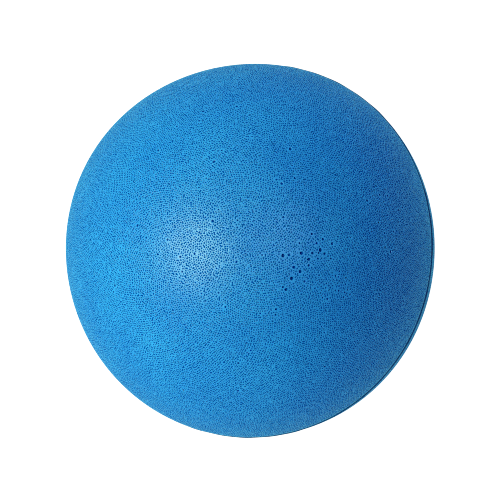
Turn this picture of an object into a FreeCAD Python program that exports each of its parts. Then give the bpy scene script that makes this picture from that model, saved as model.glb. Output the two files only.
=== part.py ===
import FreeCAD, Part
import math
import os

# Hand exercise ball of soft polyurethane foam.
#
# The ball is cast in a mould of two halves. The foam that touches the cold wall of
# the mould collapses into a thin dense skin, one half shell to each half of the mould,
# and the rest of it rises into a light cellular core. Between the two half skins runs
# the trimmed bead of foam that was squeezed into the joint of the mould, and at the
# bottom pole is the plug of foam that stayed in the filling gate and was cut off flush.
# Nothing in the ball turns or slides: its pieces are bonded to each other face to face.
#
# Frame: origin at the centre of the ball, +Z along the opening direction of the mould.
# The parting plane is the XY plane, and the filling gate is at the -Z pole.

# Driving dimensions, in millimetres.
BALL_DIAMETER = 63.0    # over the skin, clear of the parting bead
SKIN_THICKNESS = 1.2    # dense skin, from the core to the open air
SEAM_WIDTH = 0.5        # bead in the joint of the mould, along Z
SEAM_PROUD = 0.1        # crown of the trimmed bead above the skin
GATE_DIAMETER = 6.0     # plug in the filling gate

# Sizes that follow from the driving dimensions.
BALL_RADIUS = BALL_DIAMETER / 2
CORE_RADIUS = BALL_RADIUS - SKIN_THICKNESS
LIP_HEIGHT = SEAM_WIDTH / 2
GATE_RADIUS = GATE_DIAMETER / 2

TOP = 1
BOTTOM = -1
ORIGIN = FreeCAD.Vector(0, 0, 0)
MOULD_AXIS = FreeCAD.Vector(0, 0, 1)


def at(x, z):
    """A point of a profile, in the half plane that is turned about the mould axis."""
    return FreeCAD.Vector(x, 0, z)


def at_height(radius, z):
    """The point of a sphere's profile at a height above the parting plane."""
    return at(math.sqrt(radius ** 2 - z ** 2), z)


def at_distance(radius, x, side):
    """The point of a sphere's profile at a distance from the axis, above or below."""
    return at(x, side * math.sqrt(radius ** 2 - x ** 2))


def sphere_arc(start, end):
    """The arc about the origin between two points that are equally far from it."""
    middle = (start + end).normalize() * start.Length
    return Part.Arc(start, middle, end).toShape()


def line(start, end):
    return Part.LineSegment(start, end).toShape()


def turned(edges):
    """The closed solid that a closed profile sweeps in a full turn about the axis."""
    face = Part.Face(Part.Wire(edges))
    solid = face.revolve(ORIGIN, MOULD_AXIS, 360)
    if solid.Volume < 0:
        solid.reverse()
    return solid


def foam_core():
    """The light foam inside, a full ball under the skin."""
    return Part.makeSphere(CORE_RADIUS)


def skin_piece(side, inner_edge, lip):
    """Skin from a distance off the axis to where `lip` ends it.

    Its walls are the ball's sphere outside and the core's sphere inside.
    """
    outer_pole = at_distance(BALL_RADIUS, inner_edge, side)
    core_pole = at_distance(CORE_RADIUS, inner_edge, side)
    outer_lip, core_lip = lip
    return turned([
        sphere_arc(outer_pole, outer_lip),
        line(outer_lip, core_lip),
        sphere_arc(core_lip, core_pole),
        line(core_pole, outer_pole),
    ])


def half_skin(side, hole_radius):
    """One half of the skin, open at its pole where the gate plug passes through it."""
    height = side * LIP_HEIGHT
    lip = (at_height(BALL_RADIUS, height), at_height(CORE_RADIUS, height))
    return skin_piece(side, hole_radius, lip)


def gate_plug():
    """The foam that filled the gate, trimmed to the ball's own curve."""
    rim = (
        at_distance(BALL_RADIUS, GATE_RADIUS, BOTTOM),
        at_distance(CORE_RADIUS, GATE_RADIUS, BOTTOM),
    )
    return skin_piece(BOTTOM, 0, rim)


def parting_seam():
    """The bead between the two half skins, crowned outside and seated on the core."""
    outer_top = at_height(BALL_RADIUS, LIP_HEIGHT)
    outer_bottom = at_height(BALL_RADIUS, -LIP_HEIGHT)
    core_top = at_height(CORE_RADIUS, LIP_HEIGHT)
    core_bottom = at_height(CORE_RADIUS, -LIP_HEIGHT)
    crown = at(BALL_RADIUS + SEAM_PROUD, 0)
    return turned([
        Part.Arc(outer_bottom, crown, outer_top).toShape(),
        line(outer_top, core_top),
        sphere_arc(core_top, core_bottom),
        line(core_bottom, outer_bottom),
    ])


NODES = {
    "foam_core": foam_core(),
    "skin_top": half_skin(TOP, 0),
    "skin_bottom": half_skin(BOTTOM, GATE_RADIUS),
    "parting_seam": parting_seam(),
    "gate_plug": gate_plug(),
}

os.makedirs("parts", exist_ok=True)
for name, shape in NODES.items():
    shape.exportStep(f"parts/{name}.step")
    print(f"{name}: valid {shape.isValid()}, {shape.Volume:.1f} mm3")
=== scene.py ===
# %% [markdown]
# # A hand exercise ball of soft foam
# The ball is one casting of soft polyurethane foam, blue all the way through. Where the foam
# touched the cold mould it collapsed into a thin skin, and its gas left two sorts of mark in
# that skin: pinholes, less than half a millimetre apart all over, and a few larger
# blowholes. The two halves of the mould left a fine line round the middle.
#
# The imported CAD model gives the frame: a round core, two half skins, the bead between them
# and the plug of the filling gate. The core stays as it is. The other four are made again
# here with their real surface, each in the same place.

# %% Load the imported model
import bpy
import numpy as np
from mathutils import Matrix, Vector
from mathutils.geometry import delaunay_2d_cdt


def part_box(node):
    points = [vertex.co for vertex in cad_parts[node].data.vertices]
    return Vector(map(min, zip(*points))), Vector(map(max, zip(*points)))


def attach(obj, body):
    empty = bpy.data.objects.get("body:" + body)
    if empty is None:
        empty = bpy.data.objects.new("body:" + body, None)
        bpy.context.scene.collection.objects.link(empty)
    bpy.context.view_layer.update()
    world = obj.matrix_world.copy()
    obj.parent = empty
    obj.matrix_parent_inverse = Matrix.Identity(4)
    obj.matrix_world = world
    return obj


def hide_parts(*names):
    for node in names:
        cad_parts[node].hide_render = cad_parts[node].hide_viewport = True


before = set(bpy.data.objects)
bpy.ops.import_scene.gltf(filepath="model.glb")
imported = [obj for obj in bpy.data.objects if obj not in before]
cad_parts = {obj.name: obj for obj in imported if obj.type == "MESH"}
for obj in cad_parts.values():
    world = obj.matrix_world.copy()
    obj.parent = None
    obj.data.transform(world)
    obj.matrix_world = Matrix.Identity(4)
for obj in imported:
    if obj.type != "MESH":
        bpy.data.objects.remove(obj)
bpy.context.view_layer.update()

print("CAD nodes:", sorted(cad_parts))

# %% [markdown]
# ## Sizes
# Every size of the frame is read from the CAD nodes. Sizes that only the finish needs, such
# as the depth of a pinhole, are named where they are first used. They are written in
# millimetres and multiplied by MM, because Blender works in metres.

# %% Sizes of the frame
MM = 0.001
BALL_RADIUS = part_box("skin_top")[1].z
LIP_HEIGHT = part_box("skin_top")[0].z
CORE_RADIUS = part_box("foam_core")[1].z
GATE_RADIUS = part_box("gate_plug")[1].x
BEAD_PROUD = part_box("parting_seam")[1].x - BALL_RADIUS
FULL_TURN = 2 * np.pi
print(f"ball {BALL_RADIUS / MM:.2f} mm, core {CORE_RADIUS / MM:.2f} mm, lip {LIP_HEIGHT / MM:.2f} mm")

# %% [markdown]
# ## The view
# The ball lies on a table and is looked at from nearly straight above, a little from the
# right and below, so its own parting line just shows along that edge. A long lens from ten
# ball widths away keeps the outline almost a plain circle. The lens follows from how much of
# the frame the ball fills: the outline of a sphere is where the lines of sight touch it.

# %% Camera
FACE_TILT = np.radians(12.6)
FACE_TURN = np.radians(-18)
VIEW_DISTANCE = 20 * BALL_RADIUS
FRAME_SHARE = 0.744
SIDE_SHIFT = -0.0017
SENSOR = 36.0

facing = Vector((
    np.sin(FACE_TILT) * np.cos(FACE_TURN),
    np.sin(FACE_TILT) * np.sin(FACE_TURN),
    np.cos(FACE_TILT),
))
right = Vector((0, 1, 0)).cross(facing).normalized()
up = facing.cross(right)
view = Matrix((right, up, facing)).transposed()

camera = bpy.data.objects.new("camera", bpy.data.cameras.new("camera"))
bpy.context.scene.collection.objects.link(camera)
camera.matrix_world = Matrix.Translation(facing * VIEW_DISTANCE) @ view.to_4x4()
touching = np.sqrt((VIEW_DISTANCE / BALL_RADIUS) ** 2 - 1)
camera.data.sensor_width = SENSOR
camera.data.lens = SENSOR / 2 * FRAME_SHARE * touching
camera.data.shift_x = SIDE_SHIFT
bpy.context.scene.camera = camera
print(f"lens {camera.data.lens:.0f} mm at {VIEW_DISTANCE:.2f} m")

# %% [markdown]
# ## Shaders written as sums
# A shader is a tree of nodes, but most of it is arithmetic on masks. The first class lets
# that arithmetic be written as such, and the second makes every other node.

# %% A shader written as sums
class Signal:
    """One output socket. Arithmetic on it adds Math nodes and gives the result's socket."""

    def __init__(self, tree, socket):
        self.tree = tree
        self.socket = socket

    def math(self, operation, *others, clamp=False):
        node = self.tree.nodes.new("ShaderNodeMath")
        node.operation = operation
        node.use_clamp = clamp
        for place, value in zip(node.inputs, (self, *others)):
            put(self.tree, place, value)
        return Signal(self.tree, node.outputs[0])

    def __add__(self, other):
        return self.math("ADD", other)

    def __mul__(self, other):
        return self.math("MULTIPLY", other)

    def __sub__(self, other):
        return self.math("SUBTRACT", other)

    def __rsub__(self, other):
        return (self * -1) + other

    __radd__ = __add__
    __rmul__ = __mul__

    def ramp(self, low, high):
        """0 below `low`, 1 above `high`, and a straight line between them."""
        return ((self - low) * (1 / (high - low))).math("ADD", 0.0, clamp=True)

    def largest(self, other):
        return self.math("MAXIMUM", other)


def put(tree, place, value):
    """Links a signal to an input socket, or sets the socket to a number or a colour."""
    if isinstance(value, Signal):
        tree.links.new(value.socket, place)
    else:
        place.default_value = value


class Finish:
    """A material, or the world, whose nodes are made one call at a time."""

    def __init__(self, owner):
        owner.use_nodes = True
        self.owner = owner
        self.tree = owner.node_tree
        self.tree.nodes.clear()

    def node(self, kind, settings=None, output=0, **values):
        """Adds a node, sets it up, fills its sockets by name and gives one of its outputs.

        A list fills, one after another, the sockets that share a name.
        """
        made = self.tree.nodes.new("ShaderNode" + kind)
        for name, value in (settings or {}).items():
            setattr(made, name, value)
        for name, value in values.items():
            wanted = name.replace("_", " ")
            sockets = [s for s in made.inputs if s.name == wanted and s.enabled]
            for place, given in zip(sockets, value if isinstance(value, list) else [value]):
                put(self.tree, place, given)
        return Signal(self.tree, made.outputs[output])

    def mix(self, share, first, second):
        """A colour between two colours."""
        made = self.tree.nodes.new("ShaderNodeMix")
        made.data_type = "RGBA"
        for place, value in zip((0, 6, 7), (share, first, second)):
            put(self.tree, made.inputs[place], value)
        return Signal(self.tree, made.outputs[2])

    def show(self, surface):
        last = "World" if isinstance(self.owner, bpy.types.World) else "Material"
        made = self.tree.nodes.new("ShaderNodeOutput" + last)
        put(self.tree, made.inputs["Surface"], surface)


# %% [markdown]
# ## Table and light
# The ball lies on a plain table in an empty room. Both look white, but their light is kept
# apart from their look. A Light Path node shows the camera plain white. The ball gets only a
# weaker and cooler glow from the table and none from the room, so that the foam keeps its
# deep colour at the edge.
#
# Six soft panels do the rest. The key panel on the left gives the broad highlight. A weak
# one in front lifts the middle. Four wide ones stand lower and brighten the rim. The tints
# are chosen for the look: the four wide panels hold back red, which keeps the blue pure. Each
# panel is a disc whose power is worked out from how bright its face looks: radiance times pi
# times area.

# %% Table
TABLE_HALF = 1.5
TABLE_PAINT = (0.12, 0.12, 0.12, 1)
TABLE_GLOW = (0.14, 0.67, 0.61, 1)
WHITE = (1, 1, 1, 1)

table = bpy.data.objects.new("table", bpy.data.meshes.new("table"))
corner = TABLE_HALF
table.data.from_pydata(
    [(x * corner, y * corner, -BALL_RADIUS) for x, y in ((-1, -1), (1, -1), (1, 1), (-1, 1))],
    [], [(0, 1, 2, 3)],
)
bpy.context.scene.collection.objects.link(table)
lit_white = Finish(bpy.data.materials.new("lit_white_table"))
glow = lit_white.mix(lit_white.node("LightPath"), TABLE_GLOW, WHITE)
lit_white.show(lit_white.node(
    "BsdfPrincipled",
    Base_Color=TABLE_PAINT,
    Roughness=0.9,
    Emission_Color=glow,
    Emission_Strength=1.0,
))
table.data.materials.append(lit_white.owner)

# %% Panels and room
PANEL_DISTANCE = 0.6
PANELS = {
    # name: degrees round the view, degrees off it, half width in degrees, radiance, tint
    "key_panel": (180, 34, 18, 13.8, (0.82, 1.0, 0.44)),
    "front_panel": (25, 21, 16, 2.0, (1.0, 1.0, 1.4)),
    "left_panel": (190, 99, 38, 1.35, (0.2, 1.0, 0.80)),
    "near_panel": (252, 94, 38, 2.10, (0.2, 1.0, 0.80)),
    "far_panel": (108, 62, 25, 1.2, (0.2, 1.0, 0.5)),
    "top_panel": (100, 88, 35, 0.70, (0.2, 1.0, 1.2)),
}
NO_LIGHT = (0.0, 0.0, 0.0, 1)


def panel(name, turn, tilt, half_width, radiance, tint):
    """A round lamp that faces the ball, placed by angles about the line of sight.

    Formula: the lamp's radius is its distance times the tangent of half its width.
    """
    turn, tilt, half_width = np.radians((turn, tilt, half_width))
    towards = view @ Vector((
        np.sin(tilt) * np.cos(turn), np.sin(tilt) * np.sin(turn), np.cos(tilt)))
    radius = PANEL_DISTANCE * np.tan(half_width)
    lamp = bpy.data.objects.new(name, bpy.data.lights.new(name, "AREA"))
    lamp.visible_camera = False
    lamp.data.shape = "DISK"
    lamp.data.size = 2 * radius
    lamp.data.color = tint
    lamp.data.energy = radiance * np.pi * np.pi * radius ** 2
    turned = towards.to_track_quat("Z", "Y").to_matrix().to_4x4()
    lamp.matrix_world = Matrix.Translation(towards * PANEL_DISTANCE) @ turned
    bpy.context.scene.collection.objects.link(lamp)
    return lamp


for name, settings in PANELS.items():
    lamp = panel(name, *settings)
    print(f"{name}: {lamp.data.size:.2f} m across, {lamp.data.energy:.2f} W")

room = Finish(bpy.data.worlds.new("room"))
bpy.context.scene.world = room.owner
seen = room.mix(room.node("LightPath"), NO_LIGHT, WHITE)
room.show(room.node("Background", Color=seen, Strength=1.0))

# %% How the picture is made
# A denoiser, or a wide filter, would take the pinholes for noise and smear them.
SHARP_FILTER = 1.0
bpy.context.scene.view_settings.view_transform = "Standard"
bpy.context.scene.cycles.use_denoising = False
bpy.context.scene.cycles.filter_width = SHARP_FILTER

# %% [markdown]
# ## The outline
# A soft casting shrinks as it cures, and never quite evenly: across one width this ball is
# about one percent more than across another. That is a sum of a few slow waves round the
# mould axis, each fading towards the poles so that the surface stays smooth there. The same
# function shapes every outer piece, so they all still meet.

# %% Outline function
WAVES = ((2, 0.0069, 75), (3, 0.0045, 46), (4, 0.0029, -37))


def unit(vectors):
    return vectors / np.linalg.norm(vectors, axis=-1, keepdims=True)


def outline(directions):
    """The ball's outer radius in each direction.

    Formula: radius times one plus, for each wave, its share times the cosine of its count
    times the angle round the axis, times the sine of the polar angle to that same count.
    """
    x, y, z = directions.T
    round_axis = np.arctan2(y, x)
    from_axis = np.hypot(x, y)
    swell = np.zeros(len(directions))
    for count, share, towards in WAVES:
        swell += share * np.cos(count * (round_axis - np.radians(towards))) * from_axis ** count
    return BALL_RADIUS * (1 + swell)


# %% [markdown]
# ## Blowholes
# A blowhole is a gas bubble that broke through the skin: a round pit with a crisp mouth.
# These are real hollows in the mesh, and the darker blue inside them is painted shade. The
# ones that give this ball its face are placed one by one, each by its distance across and
# above the middle of the face. The rest are scattered from a seed, thin nearly everywhere
# and thicker in a few patches, because gas collects there.

# %% Blowholes of the face, one by one
# mm right of and above the middle of the face, mm across the mouth, depth as a share of that
FACE_HOLES = np.array((
    (5.2, -0.9, 0.58, 0.7), (6.2, -0.8, 0.52, 0.25), (8.2, -0.5, 0.56, 0.7),
    (9.4, -1.5, 0.52, 0.7), (10.0, -0.5, 0.50, 0.7), (11.0, -0.5, 0.34, 0.6),
    (11.3, 0.0, 0.56, 0.7), (12.0, -0.6, 0.44, 0.6), (10.9, -1.4, 0.38, 0.6),
    (10.7, 1.1, 0.42, 0.5), (9.9, 2.6, 0.42, 0.6), (7.9, 1.1, 0.36, 0.5),
    (7.0, -2.8, 0.50, 0.5), (8.0, -3.5, 0.52, 0.7), (6.6, -4.6, 0.62, 0.8),
    (9.4, -2.5, 0.40, 0.5), (5.7, -6.4, 0.52, 0.7), (5.2, -6.0, 0.34, 0.5),
    (4.1, -9.6, 0.42, 0.6), (4.0, -10.5, 0.36, 0.5), (8.7, -5.1, 0.36, 0.5),
    (11.1, -4.1, 0.34, 0.5), (13.0, -1.4, 0.34, 0.5),
    (-13.5, 1.7, 0.38, 0.5), (-11.4, -1.1, 0.40, 0.5), (-9.1, -0.6, 0.38, 0.5),
    (-11.1, -3.5, 0.34, 0.5), (-2.3, -1.9, 0.34, 0.5), (-17.0, 2.0, 0.36, 0.5),
    (-15.1, -0.7, 0.36, 0.5), (-5.2, -6.9, 0.34, 0.5), (-4.1, -9.2, 0.34, 0.5),
    (25.3, -8.0, 0.34, 0.7), (25.5, -8.5, 0.38, 0.7), (25.5, -9.1, 0.36, 0.7),
    (27.9, -8.8, 0.36, 0.6), (28.5, -7.2, 0.34, 0.5), (26.4, -11.6, 0.32, 0.5),
    (23.0, 7.4, 0.32, 0.4), (24.6, 11.9, 0.34, 0.4), (22.4, -15.0, 0.32, 0.4),
))


def on_face(across, above):
    """Directions of points given in mm right of and above the middle of the face."""
    x, y = across * MM / BALL_RADIUS, above * MM / BALL_RADIUS
    z = np.sqrt(1 - x ** 2 - y ** 2)
    return np.stack([x, y, z], -1) @ np.array(view).T


face_ways = on_face(FACE_HOLES[:, 0], FACE_HOLES[:, 1])
print("blowholes set by hand:", len(face_ways))

# %% Blowholes scattered from a seed
SCATTER_TRIES = 900
PATCH_COUNT = 9
PATCH_SHARE = 0.6
PATCH_SPREAD = 0.10
FINE_PATCH = (14.2, -5.7)
FINE_SPREAD = (1.5, 1.0)
FINE_COUNT = 60
FINE_WIDTH = 0.31
HOLE_WIDTHS = (0.28, 0.50)
HOLE_GAP = 0.9
FINE_GAP = 0.5
SHALLOW, DEEP = 0.35, 0.6
SEED = 7
rng = np.random.default_rng(SEED)


def scatter_holes(count):
    """Directions and widths: some anywhere, and some in bell-shaped patches.

    Formula: a width is the least plus the range times the fourth power of a random share,
    so small ones are far more common.
    """
    anywhere = unit(rng.normal(size=(count, 3)))
    middles = unit(rng.normal(size=(PATCH_COUNT, 3)))
    patch = middles[rng.integers(len(middles), size=count)]
    gathered = unit(patch + rng.normal(scale=PATCH_SPREAD, size=(count, 3)))
    ways = np.where(rng.random((count, 1)) < PATCH_SHARE, gathered, anywhere)
    small = rng.random(count) ** 4
    widths = HOLE_WIDTHS[0] + (HOLE_WIDTHS[1] - HOLE_WIDTHS[0]) * small
    return ways, widths


def keep_apart(ways, gaps):
    """Marks each point that is further than its own gap from every earlier point."""
    apart = np.linalg.norm(ways[:, None] - ways[None], axis=-1) * BALL_RADIUS / MM
    return ~np.tril(apart < gaps[:, None], -1).any(1)


fine = rng.normal(scale=FINE_SPREAD, size=(FINE_COUNT, 2)) + FINE_PATCH
fine_ways = on_face(*fine.T)
more_ways, more_widths = scatter_holes(SCATTER_TRIES)
hole_ways = np.vstack([face_ways, fine_ways, more_ways])
hole_widths = np.concatenate([FACE_HOLES[:, 2], np.full(FINE_COUNT, FINE_WIDTH), more_widths]) * MM
depth_shares = rng.uniform(SHALLOW, DEEP, FINE_COUNT + SCATTER_TRIES)
hole_depths = np.concatenate([FACE_HOLES[:, 3], depth_shares]) * hole_widths
gaps = np.repeat((0.0, FINE_GAP, HOLE_GAP), (len(face_ways), FINE_COUNT, SCATTER_TRIES))
kept = keep_apart(hole_ways, gaps)
hole_ways, hole_widths, hole_depths = hole_ways[kept], hole_widths[kept], hole_depths[kept]
print("blowholes in all:", len(hole_ways))

# %% Rings of points over a blowhole
HOLE_RINGS = np.array((1.3, 1.02, 0.9, 0.68, 0.36))
HOLE_PROFILE = np.array((0.0, 0.02, 0.45, 0.85, 1.0))
HOLE_SPOKES = 9
MOST_DRAWN = 0.35


def hole_points(ways, widths, depths):
    """Directions, depths and shares of depth of the points over each hole.

    Formula: about the hole's middle run rings of points, at shares of half its width, each
    ring sunk by its share of the depth. The mouth is drawn out a little along one random
    line, because a bubble that breaks through a curing skin is seldom quite round.
    """
    count = len(ways)
    side = unit(np.cross(ways, unit(rng.normal(size=(count, 3)))))
    other = np.cross(ways, side)
    turn = np.arange(HOLE_SPOKES) * FULL_TURN / HOLE_SPOKES
    reach = HOLE_RINGS[None, :, None] * (widths / 2)[:, None, None] / BALL_RADIUS
    drawn = 1 + MOST_DRAWN * rng.random((count, 1, 1)) ** 2
    across = reach * np.cos(turn) * drawn
    along = reach * np.sin(turn)
    ringed = unit(
        ways[:, None, None]
        + across[..., None] * side[:, None, None]
        + along[..., None] * other[:, None, None])
    share = np.broadcast_to(HOLE_PROFILE[None, :, None], across.shape)
    sunk = share * depths[:, None, None]
    points = np.vstack([ringed.reshape(-1, 3), ways])
    return points, np.append(sunk.ravel(), depths), np.append(share.ravel(), np.ones(count))


# %% [markdown]
# ## Pinholes
# The pinholes are about four tenths of a millimetre apart and packed like the cells of a
# comb that has been shaken. A texture would slip or stretch over a ball, so each pinhole is
# a point of the mesh, sunk a little, and the corners between pinholes are points too. Each
# pinhole carries its own strength as an attribute, which falls to nothing at the corners, so
# the finish knows at every place how far into a pinhole it is.
#
# The even spacing comes from a spiral in which each point turns by the golden angle and
# takes an equal share of the area.

# %% Pinholes on a half ball
PINHOLE_PITCH = 0.39
PINHOLE_SHAKE = 0.16
PINHOLE_DEPTH = 0.03
GOLDEN_ANGLE = np.pi * (3 - np.sqrt(5))


def spiral(lowest, highest, count):
    """Evenly spread directions between two heights of the unit sphere.

    Formula: point number k of n has a height that falls evenly with k, and an angle of k
    golden angles.
    """
    number = np.arange(count) + 0.5
    height = highest - (highest - lowest) * number / count
    turn = number * GOLDEN_ANGLE
    flat = np.sqrt(1 - height ** 2)
    return np.stack([flat * np.cos(turn), flat * np.sin(turn), height], -1)


def pinholes(lowest, highest):
    """Directions of the pinholes between two heights of the unit sphere.

    Formula: there are as many as the area holds six-sided cells, and each point of the
    spiral is moved by a random step within the surface.
    """
    cell = PINHOLE_PITCH ** 2 * np.sqrt(3) / 2
    area = FULL_TURN * (BALL_RADIUS / MM) ** 2 * (highest - lowest)
    even = spiral(lowest, highest, int(area / cell))
    step = PINHOLE_SHAKE * PINHOLE_PITCH * MM / BALL_RADIUS
    return unit(even + rng.normal(scale=step, size=even.shape))


# %% How open each pinhole is
USUAL_SPREAD = 0.13
CLOSED_SHARE, CLOSED = 0.02, 0.5
WIDE_SHARE, WIDER = 0.03, 1.45
LEAST, MOST = 0.4, 1.8


def strengths(count):
    """How open each pinhole is: mostly middling, some nearly closed, a few wide."""
    usual = rng.normal(1.0, USUAL_SPREAD, count)
    kind = rng.random(count)
    wide = np.where(kind > 1 - WIDE_SHARE, usual * WIDER, usual)
    return np.where(kind < CLOSED_SHARE, CLOSED, wide).clip(LEAST, MOST)


# %% [markdown]
# ## The net
# Points alone are not a surface. The half ball is laid flat by looking at it from its far
# pole, a map that keeps circles as circles, and so the Delaunay rule, which joins near
# points into well-shaped triangles, gives the same net on the map as on the ball.

# %% Net over a half ball
SAME_POINT = 1e-9


def net(directions):
    """Triangles over points of the upper half of a sphere, facing outwards.

    Formula: the map divides x and y by one plus z.
    """
    flat = directions[:, :2] / (1 + directions[:, 2:])
    found = delaunay_2d_cdt([Vector(p) for p in flat.tolist()], [], [], 0, SAME_POINT)
    if len(found[0]) != len(flat):
        raise ValueError("two points of the net fell together")
    return np.array(found[2])


def rings(polar_angles, count):
    """Directions of rings of points about the pole, one ring to each polar angle."""
    turn = np.arange(count) * FULL_TURN / count
    polar, turn = np.meshgrid(polar_angles, turn, indexing="ij")
    flat = np.sin(polar)
    return np.stack([flat * np.cos(turn), flat * np.sin(turn), np.cos(polar)], -1).reshape(-1, 3)


def cut_open(directions, triangles, angle):
    """Leaves out the triangles whose middle lies nearer to the pole than an angle."""
    middle = unit(directions[triangles].sum(1))
    return triangles[middle[:, 2] < np.cos(angle)]


# %% [markdown]
# ## Half skins
# A half skin is a closed shell: the pitted outside, a smooth inside on the core, and the
# narrow walls between them at the lip and, on the lower half, round the gate. By the lip
# the outside dips in a shallow groove, where the edge of the mould pinched the foam.

# %% Shape of the skin's edges
LIP_SPOKES = 480
GATE_SPOKES = 96
GROOVE_STEPS = np.array((0.0, 0.12, 0.26, 0.42, 0.62, 0.9)) * MM
GROOVE_DEPTH = 0.14 * MM
GROOVE_WIDTH = 0.62 * MM
CLEAR_EDGE = 0.3 * MM
JUST_INSIDE = 0.999


def groove(distance):
    """How deep the surface dips at a distance from an edge: a cosine that ends level."""
    share = (distance / GROOVE_WIDTH).clip(0, 1)
    return GROOVE_DEPTH * (1 + np.cos(np.pi * share)) / 2


def edge_rings(edge_angle, inwards, count):
    """Directions and dips of the rings that follow an edge, from the edge away."""
    angles = edge_angle + inwards * GROOVE_STEPS / BALL_RADIUS
    return rings(angles, count), np.repeat(groove(GROOVE_STEPS), count)


# %% Points and net of the pitted outside
CLEAR_SHARE = 0.65
CLEAR_GAP = 0.16 * MM
BATCHES = 12


def clear_of_holes(pins, ways, widths):
    """The pinholes that lie outside every blowhole.

    Formula: the dot product of two directions is the cosine of the angle between them. The
    blowholes are taken in batches, so that the table of all pairs stays small.
    """
    clear = np.ones(len(pins), bool)
    for part in np.array_split(np.arange(len(ways)), BATCHES):
        reach = widths[part] * CLEAR_SHARE + CLEAR_GAP
        clear &= ~(pins @ ways[part].T > np.cos(reach / BALL_RADIUS)).any(1)
    return pins[clear]


def pitted_outside(side, lip_angle, gate_angle):
    """Directions, depths, attributes and triangles of the outside of a half skin.

    Formula: a first net over the pinholes finds the corners, which are the middles of its
    triangles, and a second net over pinholes, corners, pits and edges is the surface.
    """
    lip_ring, lip_dip = edge_rings(lip_angle, -1, LIP_SPOKES)
    edges, dips = [lip_ring], [lip_dip]
    if gate_angle:
        gate_ring, gate_dip = edge_rings(gate_angle, 1, GATE_SPOKES)
        edges.append(gate_ring)
        dips.append(gate_dip)
    margin = (GROOVE_STEPS[-1] + CLEAR_EDGE) / BALL_RADIUS
    lowest = np.cos(lip_angle - margin)
    highest = np.cos(gate_angle + margin) if gate_angle else 1.0

    local = hole_ways * (1, 1, side)
    inside = (local[:, 2] > lowest) & (local[:, 2] < highest)
    ways, widths, depths = local[inside], hole_widths[inside], hole_depths[inside]
    pits, pit_sunk, pit_share = hole_points(ways, widths, depths)

    pins = clear_of_holes(pinholes(lowest, highest), ways, widths)

    fixed = np.vstack([*edges, pits])
    first = net(np.vstack([pins, fixed]))
    open_cells = (first < len(pins)).sum(1) >= 2
    corners = unit(np.vstack([pins, fixed])[first[open_cells]].sum(1))
    strength = strengths(len(pins))

    directions = np.vstack([fixed, pins, corners])
    none = np.zeros(len(corners))
    sunk = np.concatenate([*dips, pit_sunk, strength * PINHOLE_DEPTH * MM, none])
    pinhole = np.concatenate([np.zeros(len(fixed)), strength, none])
    flush = np.zeros(len(fixed) - len(pits))
    blowhole = np.concatenate([flush, pit_share, np.zeros(len(pins)), none])
    triangles = net(directions)
    if gate_angle:
        triangles = cut_open(directions, triangles, gate_angle * JUST_INSIDE)
    print(f"  {len(pins)} pinholes, {len(ways)} blowholes, {len(triangles)} triangles outside")
    return directions, sunk, pinhole, blowhole, triangles


# %% Making a mesh
MAP_NAME = "OFBake"
SHARP_EDGE = np.radians(70)
SMALLEST = 1e-9


def new_piece(name, points, triangles, flat_map, **attributes):
    """A smooth mesh object from arrays, with its map and its attributes."""
    mesh = bpy.data.meshes.new(name)
    mesh.vertices.add(len(points))
    mesh.vertices.foreach_set("co", points.astype(np.float32).ravel())
    mesh.loops.add(triangles.size)
    mesh.loops.foreach_set("vertex_index", triangles.astype(np.int32).ravel())
    mesh.polygons.add(len(triangles))
    mesh.polygons.foreach_set("loop_start", np.arange(0, triangles.size, 3, dtype=np.int32))
    mesh.polygons.foreach_set("use_smooth", np.ones(len(triangles), bool))
    mesh.update(calc_edges=True)
    layer = mesh.uv_layers.new(name=MAP_NAME)
    layer.uv.foreach_set("vector", flat_map.astype(np.float32).ravel())
    for label, values in attributes.items():
        made = mesh.attributes.new(label, "FLOAT", "POINT")
        made.data.foreach_set("value", values.astype(np.float32))
    mesh.set_sharp_from_angle(angle=SHARP_EDGE)
    piece = bpy.data.objects.new(name, mesh)
    bpy.context.scene.collection.objects.link(piece)
    print(f"{name}: {len(points)} points, {len(triangles)} triangles")
    return piece


def disc_map(directions, middle, size):
    """Flat map of a half ball that keeps areas: radius is the sine of half the polar angle."""
    x, y, z = directions.T
    spread = np.sqrt(((1 - z) / 2).clip(0, 1)) * np.sqrt(2) / np.maximum(np.hypot(x, y), SMALLEST)
    return np.stack([middle[0] + size * spread * x, middle[1] + size * spread * y], -1)


def wall_between(first, second):
    """Triangles of the wall between two rings of the same count."""
    first_next, second_next = np.roll(first, -1), np.roll(second, -1)
    return np.vstack([
        np.stack([first, second, second_next], -1),
        np.stack([first, second_next, first_next], -1)])


# %% The smooth inside
INSIDE_POINTS = 500
INSIDE_LOWEST = 0.08
ROUND_GATE = 1.3


def smooth_inside(gate_radius):
    """Directions and triangles of the inside of a half skin, which lies on the core.

    Formula: the pinholes' spiral again, with few points, inside the rings of the edges.
    """
    gate_angle = np.arcsin(gate_radius / CORE_RADIUS)
    edges = [rings([np.arccos(LIP_HEIGHT / CORE_RADIUS)], LIP_SPOKES)]
    highest = 1.0
    if gate_radius:
        edges.append(rings([gate_angle], GATE_SPOKES))
        highest = np.cos(gate_angle * ROUND_GATE)
    inner = np.vstack([*edges, spiral(INSIDE_LOWEST, highest, INSIDE_POINTS)])
    triangles = net(inner)
    if gate_radius:
        triangles = cut_open(inner, triangles, gate_angle * JUST_INSIDE)
    return inner, triangles


# %% A half skin as a closed shell
# the middle and the size of each part's disc in the flat map
MAIN_DISC = ((0.5, 0.5), 0.495)
INSIDE_DISC = ((0.08, 0.08), 0.075)
LIP_DISC = ((0.92, 0.08), 0.075)
GATE_DISC = ((0.08, 0.92), 0.075)
INNER_EDGE = 0.8


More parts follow.
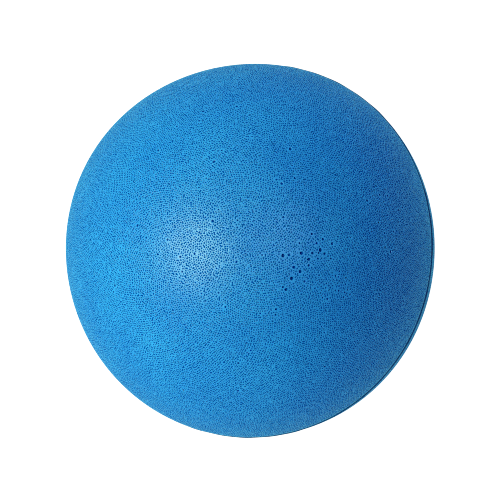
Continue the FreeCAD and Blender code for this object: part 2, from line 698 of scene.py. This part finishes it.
def half_skin(name, side, gate_radius):
    """Outside, inside and walls of one half of the skin, joined along their edges.

    Formula: both halves are worked out as upper ones. The lower one is then mirrored, and
    its triangles are turned over so that they still face outwards.
    """
    lip_angle = np.arccos(LIP_HEIGHT / BALL_RADIUS)
    gate_angle = np.arcsin(gate_radius / BALL_RADIUS)
    outer, sunk, pinhole, blowhole, net_out = pitted_outside(side, lip_angle, gate_angle)
    inner, net_in = smooth_inside(gate_radius)

    world_out = outer * (1, 1, side)
    points_out = world_out * (outline(world_out) - sunk)[:, None]
    points_out[:, 2] = side * np.maximum(side * points_out[:, 2], LIP_HEIGHT)
    points_in = inner * (1, 1, side) * CORE_RADIUS

    start = len(outer)
    both = np.vstack([outer, inner * INNER_EDGE])
    walls = [wall_between(np.arange(LIP_SPOKES), start + np.arange(LIP_SPOKES))]
    maps = [disc_map(both, *LIP_DISC)[walls[0]]]
    if gate_radius:
        rim = len(GROOVE_STEPS) * LIP_SPOKES + np.arange(GATE_SPOKES)
        core_rim = start + LIP_SPOKES + np.arange(GATE_SPOKES)
        walls.append(wall_between(core_rim, rim))
        maps.append(disc_map(both, *GATE_DISC)[walls[1]])
    triangles = np.vstack([net_out, net_in[:, ::-1] + start, *walls])
    outside_map = disc_map(outer, *MAIN_DISC)[net_out]
    inside_map = disc_map(inner, *INSIDE_DISC)[net_in[:, ::-1]]
    flat_map = np.vstack([outside_map, inside_map, *maps])
    if side < 0:
        triangles, flat_map = triangles[:, ::-1], flat_map[:, ::-1]
    smooth = np.zeros(len(inner))
    return new_piece(
        name, np.vstack([points_out, points_in]), triangles, flat_map,
        pinhole=np.append(pinhole, smooth), blowhole=np.append(blowhole, smooth))


top_skin = half_skin("pitted_skin_top", 1, 0)
bottom_skin = half_skin("pitted_skin_bottom", -1, GATE_RADIUS)

# %% [markdown]
# ## Parting bead
# The bead is foam that was squeezed into the joint of the mould and trimmed off by hand, so
# its crown is not quite even. It is a profile carried round the ball: from the core out to
# the crown and back, with the crown's height wandering a little.

# %% Bead
BEAD_SPOKES = 720
CROWN_POINTS = 9
WAVER_COUNTS = (5, 11, 23, 47)
WAVER_SHARE = 0.16
LEAST_CROWN = 0.02 * MM
MAP_FILL = 0.99


def parting_bead():
    """A closed ring. Its profile is two points on the core and an arch over the joint.

    Formula: over the joint the height is plus or minus the lip, and the radius is the
    outline's, less the groove at the edges, plus the crown times one minus the square of
    the share of the lip.
    """
    turn = np.arange(BEAD_SPOKES) * FULL_TURN / BEAD_SPOKES
    spokes = np.stack([np.cos(turn), np.sin(turn), np.zeros_like(turn)], -1)
    share = np.linspace(-1, 1, CROWN_POINTS)
    waver = np.zeros_like(turn)
    for count in WAVER_COUNTS:
        waver += WAVER_SHARE * np.cos(count * turn + rng.uniform(0, FULL_TURN))
    crown = (BEAD_PROUD * (1 + waver)).clip(LEAST_CROWN, None)
    arch = 1 - share ** 2
    radius = outline(spokes)[:, None] - GROOVE_DEPTH * (1 - arch) + crown[:, None] * arch
    core = np.full((BEAD_SPOKES, 1), np.sqrt(CORE_RADIUS ** 2 - LIP_HEIGHT ** 2))
    radius = np.hstack([core, radius, core])
    height = np.concatenate([[-1], share, [1]]) * LIP_HEIGHT
    points = spokes[:, None] * radius[..., None]
    points[..., 2] = height
    across = len(height)
    index = np.arange(BEAD_SPOKES * across).reshape(BEAD_SPOKES, across)
    nearby = np.roll(index, -1, axis=0)
    ahead, both = np.roll(index, -1, axis=1), np.roll(nearby, -1, axis=1)
    triangles = np.vstack([
        np.stack([index, nearby, both], -1).reshape(-1, 3),
        np.stack([index, both, ahead], -1).reshape(-1, 3)])
    share_round = np.arange(BEAD_SPOKES) / BEAD_SPOKES
    return points.reshape(-1, 3), triangles, share_round, across


bead_points, bead_net, share_round, across = parting_bead()
bead_place = np.arange(len(bead_points))
bead_at = np.stack([share_round[bead_place // across], (bead_place % across) / across], -1)
bead_map = bead_at[bead_net]
# a triangle that crosses the map's edge gets its low corners moved on by a whole turn
bead_map[..., 0] += (bead_map[..., 0] < bead_map[..., :1].max(1, keepdims=True)[..., 0] - 0.5)
bead_map[..., 1] += (bead_map[..., 1] < bead_map[..., 1].max(1, keepdims=True) - 0.5)
bead = new_piece("parting_bead", bead_points, bead_net, bead_map * MAP_FILL)

# %% [markdown]
# ## Gate plug
# Where the filling gate was cut off with a knife, the cut runs through open cells. The plug
# is a short post under a face of wide, shallow holes that nearly touch, made with the same
# rings of points as the blowholes.

# %% Plug
CUT_CELLS = 150
CUT_WIDTHS = (0.30, 0.62)
CUT_REACH = 0.86
CUT_ROOM = 0.68
CUT_DEPTH = 0.45
PLUG_GAP = 0.04 * MM
PLUG_EDGE = np.array((1.0, 0.985, 0.95))
PLUG_DIPS = np.array((0.10, 0.03, 0.0)) * MM
FACE_MAP = 0.45
INNER_MAP = 0.2


def gate_plug_piece():
    """A closed post: a face of cut cells, a wall, and a smooth inner face on the core.

    Formula: the cells' middles are spread evenly over a disc, whose radius is the square
    root of a random share, and a cell is left out where an earlier one lies too near.
    """
    edge_angle = np.arcsin((GATE_RADIUS - PLUG_GAP) / BALL_RADIUS)
    turn = rng.uniform(0, FULL_TURN, CUT_CELLS)
    reach = np.sqrt(rng.random(CUT_CELLS)) * edge_angle * CUT_REACH
    flat = np.sin(reach)
    ways = np.stack([flat * np.cos(turn), flat * np.sin(turn), np.cos(reach)], -1)
    widths = rng.uniform(*CUT_WIDTHS, CUT_CELLS) * MM
    apart = np.linalg.norm(ways[:, None] - ways[None], axis=-1) * BALL_RADIUS
    room_for = (widths[:, None] + widths[None]) * CUT_ROOM
    keep = ~np.tril(apart < room_for, -1).any(1)
    ways, widths = ways[keep], widths[keep]
    pits, sunk, share = hole_points(ways, widths, widths * CUT_DEPTH)
    edge = rings(edge_angle * PLUG_EDGE, GATE_SPOKES)
    dips = np.repeat(PLUG_DIPS, GATE_SPOKES)
    outer = np.vstack([edge, pits])
    core_angle = np.arcsin((GATE_RADIUS - PLUG_GAP) / CORE_RADIUS)
    inner = np.vstack([rings([core_angle], GATE_SPOKES), [(0, 0, 1)]])
    net_out, net_in = net(outer), net(inner)
    start = len(outer)
    wall = wall_between(np.arange(GATE_SPOKES), start + np.arange(GATE_SPOKES))
    down = np.array((1, 1, -1))
    world_out = outer * down
    points_out = world_out * (outline(world_out) - np.append(dips, sunk))[:, None]
    points = np.vstack([points_out, inner * down * CORE_RADIUS])
    triangles = np.vstack([net_out, net_in[:, ::-1] + start, wall])[:, ::-1]
    scale = FACE_MAP / np.sin(edge_angle)
    flat_map = 0.5 + np.vstack([outer[:, :2] * scale, inner[:, :2] * scale * INNER_MAP])
    print(f"  {len(ways)} cut cells")
    smooth = np.zeros(len(inner))
    blowhole = np.concatenate([np.zeros(len(edge)), share, smooth])
    return new_piece(
        "cut_gate_plug", points, triangles, flat_map[triangles],
        pinhole=np.zeros(len(points)), blowhole=blowhole)


plug = gate_plug_piece()

# %% [markdown]
# ## Finish of the skin
# The foam is one blue throughout, but its skin is not one colour. Between the pinholes it is
# a lighter, slightly milky film; the shade inside each pinhole is painted in as a darker blue.
# The blue also drifts a little over the ball, as pigment does in a poured foam. The colour is
# therefore three layers: a slow drift between two blues, a finer mottle, and painted shade in
# the holes over both. Only the film has a sheen, so the surface is two shaders, one with a
# soft gloss and one with none, and the second shows wherever the film is open.

# %% Foam finish
FILM_BLUE = (0.016, 0.203, 0.765, 1)
FILM_BLUE_DEEP = (0.013, 0.176, 0.730, 1)
FILM_PALE = (0.030, 0.261, 0.830, 1)
# Painted shade: the darker blue that stands for the shade inside each pinhole.
PINHOLE_SHADE_BLUE = (0.000, 0.046, 0.345, 1)
# Painted shade: the darker blue that stands for the shade inside blowholes and open cells.
CAVITY_SHADE_BLUE = (0.000, 0.036, 0.330, 1)
SEAM_BLUE = (0.000, 0.040, 0.250, 1)
PINHOLE_EDGE = (0.30, 0.62)
HOLE_EDGE = (0.05, 0.6)
JOINT_BAND = (0.5 * MM, 1.5 * MM)
MOTTLE_SHARE, SPECK_SHARE, JOINT_SHARE = 0.12, 0.3, 0.8
WOBBLE = 0.24
GRAIN_HEIGHT, PINHOLE_DIP = 0.004, 0.025
FOAM_IOR = 1.45


def noise(finish, place, pitch, detail):
    """Soft noise whose lumps are about `pitch` millimetres wide."""
    return finish.node(
        "TexNoise", {"noise_dimensions": "3D"},
        Vector=place, Scale=1 / (pitch * MM), Detail=detail)


def foam_skin(name):
    """The skin with its pinholes, its blowholes and the dark band along the joint; the shade in
    the holes is painted, and the band is partly denser foam and partly painted shade of the groove.

    Formula: a Mix Shader goes from sheen to matte with the larger of the two masks, how far
    a pinhole is open and how far a blowhole is. Heights are in mm, as the Bump node's
    distance says.
    """
    finish = Finish(bpy.data.materials.new(name))
    place = finish.node("TexCoord", output=3)
    pinhole = finish.node("Attribute", {"attribute_name": "pinhole"}, 2)
    blowhole = finish.node("Attribute", {"attribute_name": "blowhole"}, 2)
    height = finish.node("SeparateXYZ", output=2, Vector=place)
    drift = noise(finish, place, 9, 1.0).ramp(0.35, 0.65)
    mottle = noise(finish, place, 1.6, 2.0).ramp(0.3, 0.7)
    speck = noise(finish, place, 0.45, 0.0).ramp(0.66, 0.74)

    film = finish.mix(drift, FILM_BLUE_DEEP, FILM_BLUE)
    film = finish.mix(mottle * MOTTLE_SHARE, film, FILM_PALE)
    film = finish.mix(speck * SPECK_SHARE, film, FILM_PALE)
    wobble = noise(finish, place, 0.22, 1.0) * WOBBLE - WOBBLE / 2
    open_pin = (pinhole + wobble).ramp(*PINHOLE_EDGE)
    open_hole = blowhole.ramp(*HOLE_EDGE)
    # Darker along the joint: partly the denser foam there, partly painted shade of the groove by the
    # lip.
    dense_and_shaded_joint = 1 - height.math("ABSOLUTE").ramp(*JOINT_BAND)
    # Painted shade in the pinholes, as far as each one is open.
    colour = finish.mix(open_pin, film, PINHOLE_SHADE_BLUE)
    colour = finish.mix(dense_and_shaded_joint * JOINT_SHARE, colour, SEAM_BLUE)
    # Painted shade inside the blowholes.
    colour = finish.mix(open_hole, colour, CAVITY_SHADE_BLUE)

    grain = noise(finish, place, 0.12, 1.0)
    relief = grain * GRAIN_HEIGHT - open_pin * PINHOLE_DIP
    bump = finish.node("Bump", Strength=1.0, Distance=MM, Height=relief)
    sheen = finish.node(
        "BsdfPrincipled",
        Base_Color=colour, Roughness=mottle * 0.08 + 0.33, Normal=bump,
        IOR=FOAM_IOR, Specular_IOR_Level=0.45,
    )
    matte = finish.node(
        "BsdfPrincipled",
        Base_Color=colour, Roughness=0.9, Normal=bump,
        IOR=FOAM_IOR, Specular_IOR_Level=0.0,
    )
    film_gone = open_pin.largest(open_hole)
    finish.show(finish.node("MixShader", Fac=film_gone, Shader=[sheen, matte]))
    return finish.owner


skin_finish = foam_skin("foam_skin")

# %% [markdown]
# ## Finish of the bead, the plug and the core
# The bead is the same foam with no cells left in it, so it is darker and even. The plug's
# cut face is paler than the skin, because a cut through cells scatters light. The core is
# open foam: round cells with pale walls, and the shade inside each cell is painted as a darker
# blue. It lies under the skin, and is finished so that a cut or a tear through the skin would
# look right.

# %% Bead, plug and core finishes
WORN_BEAD = (0.003, 0.100, 0.340, 1)
CUT_WALL = (0.010, 0.260, 0.600, 1)
PLUG_CELL = 0.35
CORE_CELL = 0.6


def bead_finish():
    """Dense foam, mottled where the knife that trimmed it slipped along."""
    finish = Finish(bpy.data.materials.new("dense_bead"))
    place = finish.node("TexCoord", output=3)
    mottle = noise(finish, place, 0.8, 3.0).ramp(0.3, 0.7)
    colour = finish.mix(mottle, SEAM_BLUE, WORN_BEAD)
    relief = noise(finish, place, 0.25, 2.0) * 0.05
    bump = finish.node("Bump", Strength=0.6, Distance=MM, Height=relief)
    finish.show(finish.node(
        "BsdfPrincipled",
        Base_Color=colour, Roughness=0.5 + mottle * 0.15, Normal=bump,
        IOR=FOAM_IOR, Specular_IOR_Level=0.35,
    ))
    return finish.owner


def cut_foam_finish(name, cell):
    """Open foam: a Voronoi cell has painted shade in its middle and is pale along its walls."""
    finish = Finish(bpy.data.materials.new(name))
    place = finish.node("TexCoord", output=3)
    from_middle = finish.node(
        "TexVoronoi", {"voronoi_dimensions": "3D", "feature": "F1"},
        Vector=place, Scale=1 / (cell * MM))
    wall = from_middle.ramp(0.15, 0.62)
    # Painted shade in the middle of each cell, paler towards its walls.
    colour = finish.mix(wall, CAVITY_SHADE_BLUE, CUT_WALL)
    blowhole = finish.node("Attribute", {"attribute_name": "blowhole"}, 2)
    # Painted shade in the pits of the cut cells.
    colour = finish.mix(blowhole.ramp(0.1, 0.9) * 0.8, colour, CAVITY_SHADE_BLUE)
    bump = finish.node("Bump", Strength=0.8, Distance=MM, Height=wall * 0.08)
    finish.show(finish.node(
        "BsdfPrincipled",
        Base_Color=colour, Roughness=0.85, Normal=bump,
        IOR=FOAM_IOR, Specular_IOR_Level=0.3,
    ))
    return finish.owner


for piece, finish in (
    (top_skin, skin_finish),
    (bottom_skin, skin_finish),
    (bead, bead_finish()),
    (plug, cut_foam_finish("cut_gate_foam", PLUG_CELL)),
):
    piece.data.materials.append(finish)
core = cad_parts["foam_core"]
core.data.materials.clear()
core.data.materials.append(cut_foam_finish("open_core_foam", CORE_CELL))

# %% [markdown]
# ## What each piece stands for
# Every new piece takes the place of its CAD node, which stays behind for weight and contact.
# The ball has no joint, so all of them ride on its one body. The skins, the bead and the
# plug are soft foam that is always full.

for piece, node, slot in (
    (top_skin, "skin_top", "foam_skin"),
    (bottom_skin, "skin_bottom", "foam_skin"),
    (bead, "parting_seam", "parting_bead"),
    (plug, "gate_plug", "gate_foam"),
):
    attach(piece, "root")
    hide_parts(node)

# %% End
print("all pieces attached to the body")
